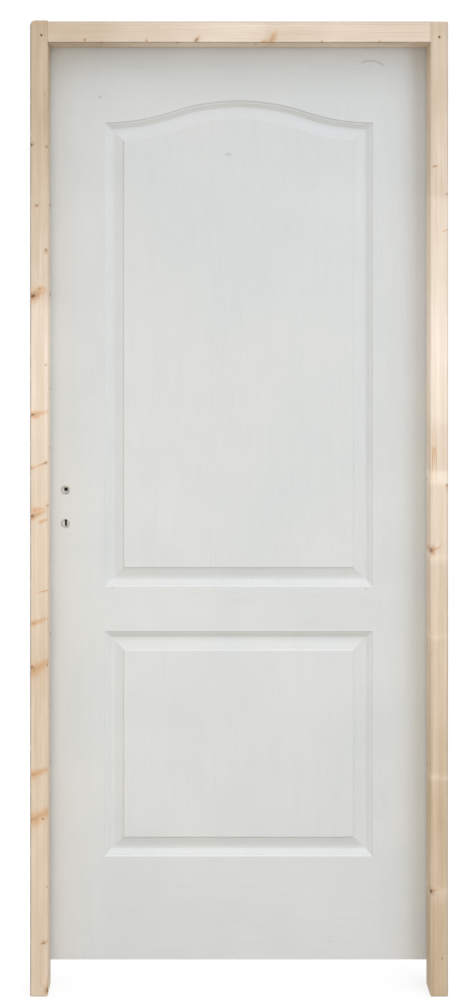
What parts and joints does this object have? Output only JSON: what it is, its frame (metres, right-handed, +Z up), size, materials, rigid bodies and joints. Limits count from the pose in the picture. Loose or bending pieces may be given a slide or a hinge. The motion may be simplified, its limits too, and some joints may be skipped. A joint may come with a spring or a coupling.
{
  "type": "prehung interior door",
  "caption": "Interior door in its own bare pine frame: white pressed leaf with an arched raised panel over a square one, hung on butt hinges, with a mortise lock and no furniture.",
  "frame": {"origin": "middle of the hinge jamb's foot, at floor-bearing level", "axes": "+X towards the outer side of the hinge jamb, +Y through the door to the side it opens to, +Z up"},
  "size_m": [0.9, 0.1135, 2.1025],
  "materials": {
    "pine": "bare planed pine",
    "white_skin": "white primed pressed fibreboard with a fine grain",
    "softwood": "sawn softwood",
    "plated_steel": "zinc plated",
    "lock_zinc": "pressed zinc-plated case",
    "bolt_brass": "satin"
  },
  "bodies": {
    "frame": {"lock_jamb": "pine", "hinge_jamb": "pine", "head": "pine", "strike_plate": "plated_steel", "hinge_low_frame_half": "plated_steel", "hinge_middle_frame_half": "plated_steel", "hinge_top_frame_half": "plated_steel"},
    "leaf": {"front_skin": "white_skin", "back_skin": "white_skin", "lock_stile": "softwood", "hinge_stile": "softwood", "top_rail": "softwood", "bottom_rail": "softwood", "lock_block": "softwood", "lock_case": "lock_zinc", "lock_follower": "plated_steel", "lock_faceplate": "plated_steel", "latch_bolt": "bolt_brass", "dead_bolt": "bolt_brass", "hinge_low_leaf_half": "plated_steel", "hinge_middle_leaf_half": "plated_steel", "hinge_top_leaf_half": "plated_steel"}
  },
  "joints": [
    {"name": "leaf_swing", "type": "hinge", "parent": "frame", "child": "leaf", "pos_m": [-0.0065, 0.057, 0], "axis": [0, 0, -1], "range_deg": [0, 170]}
  ]
}
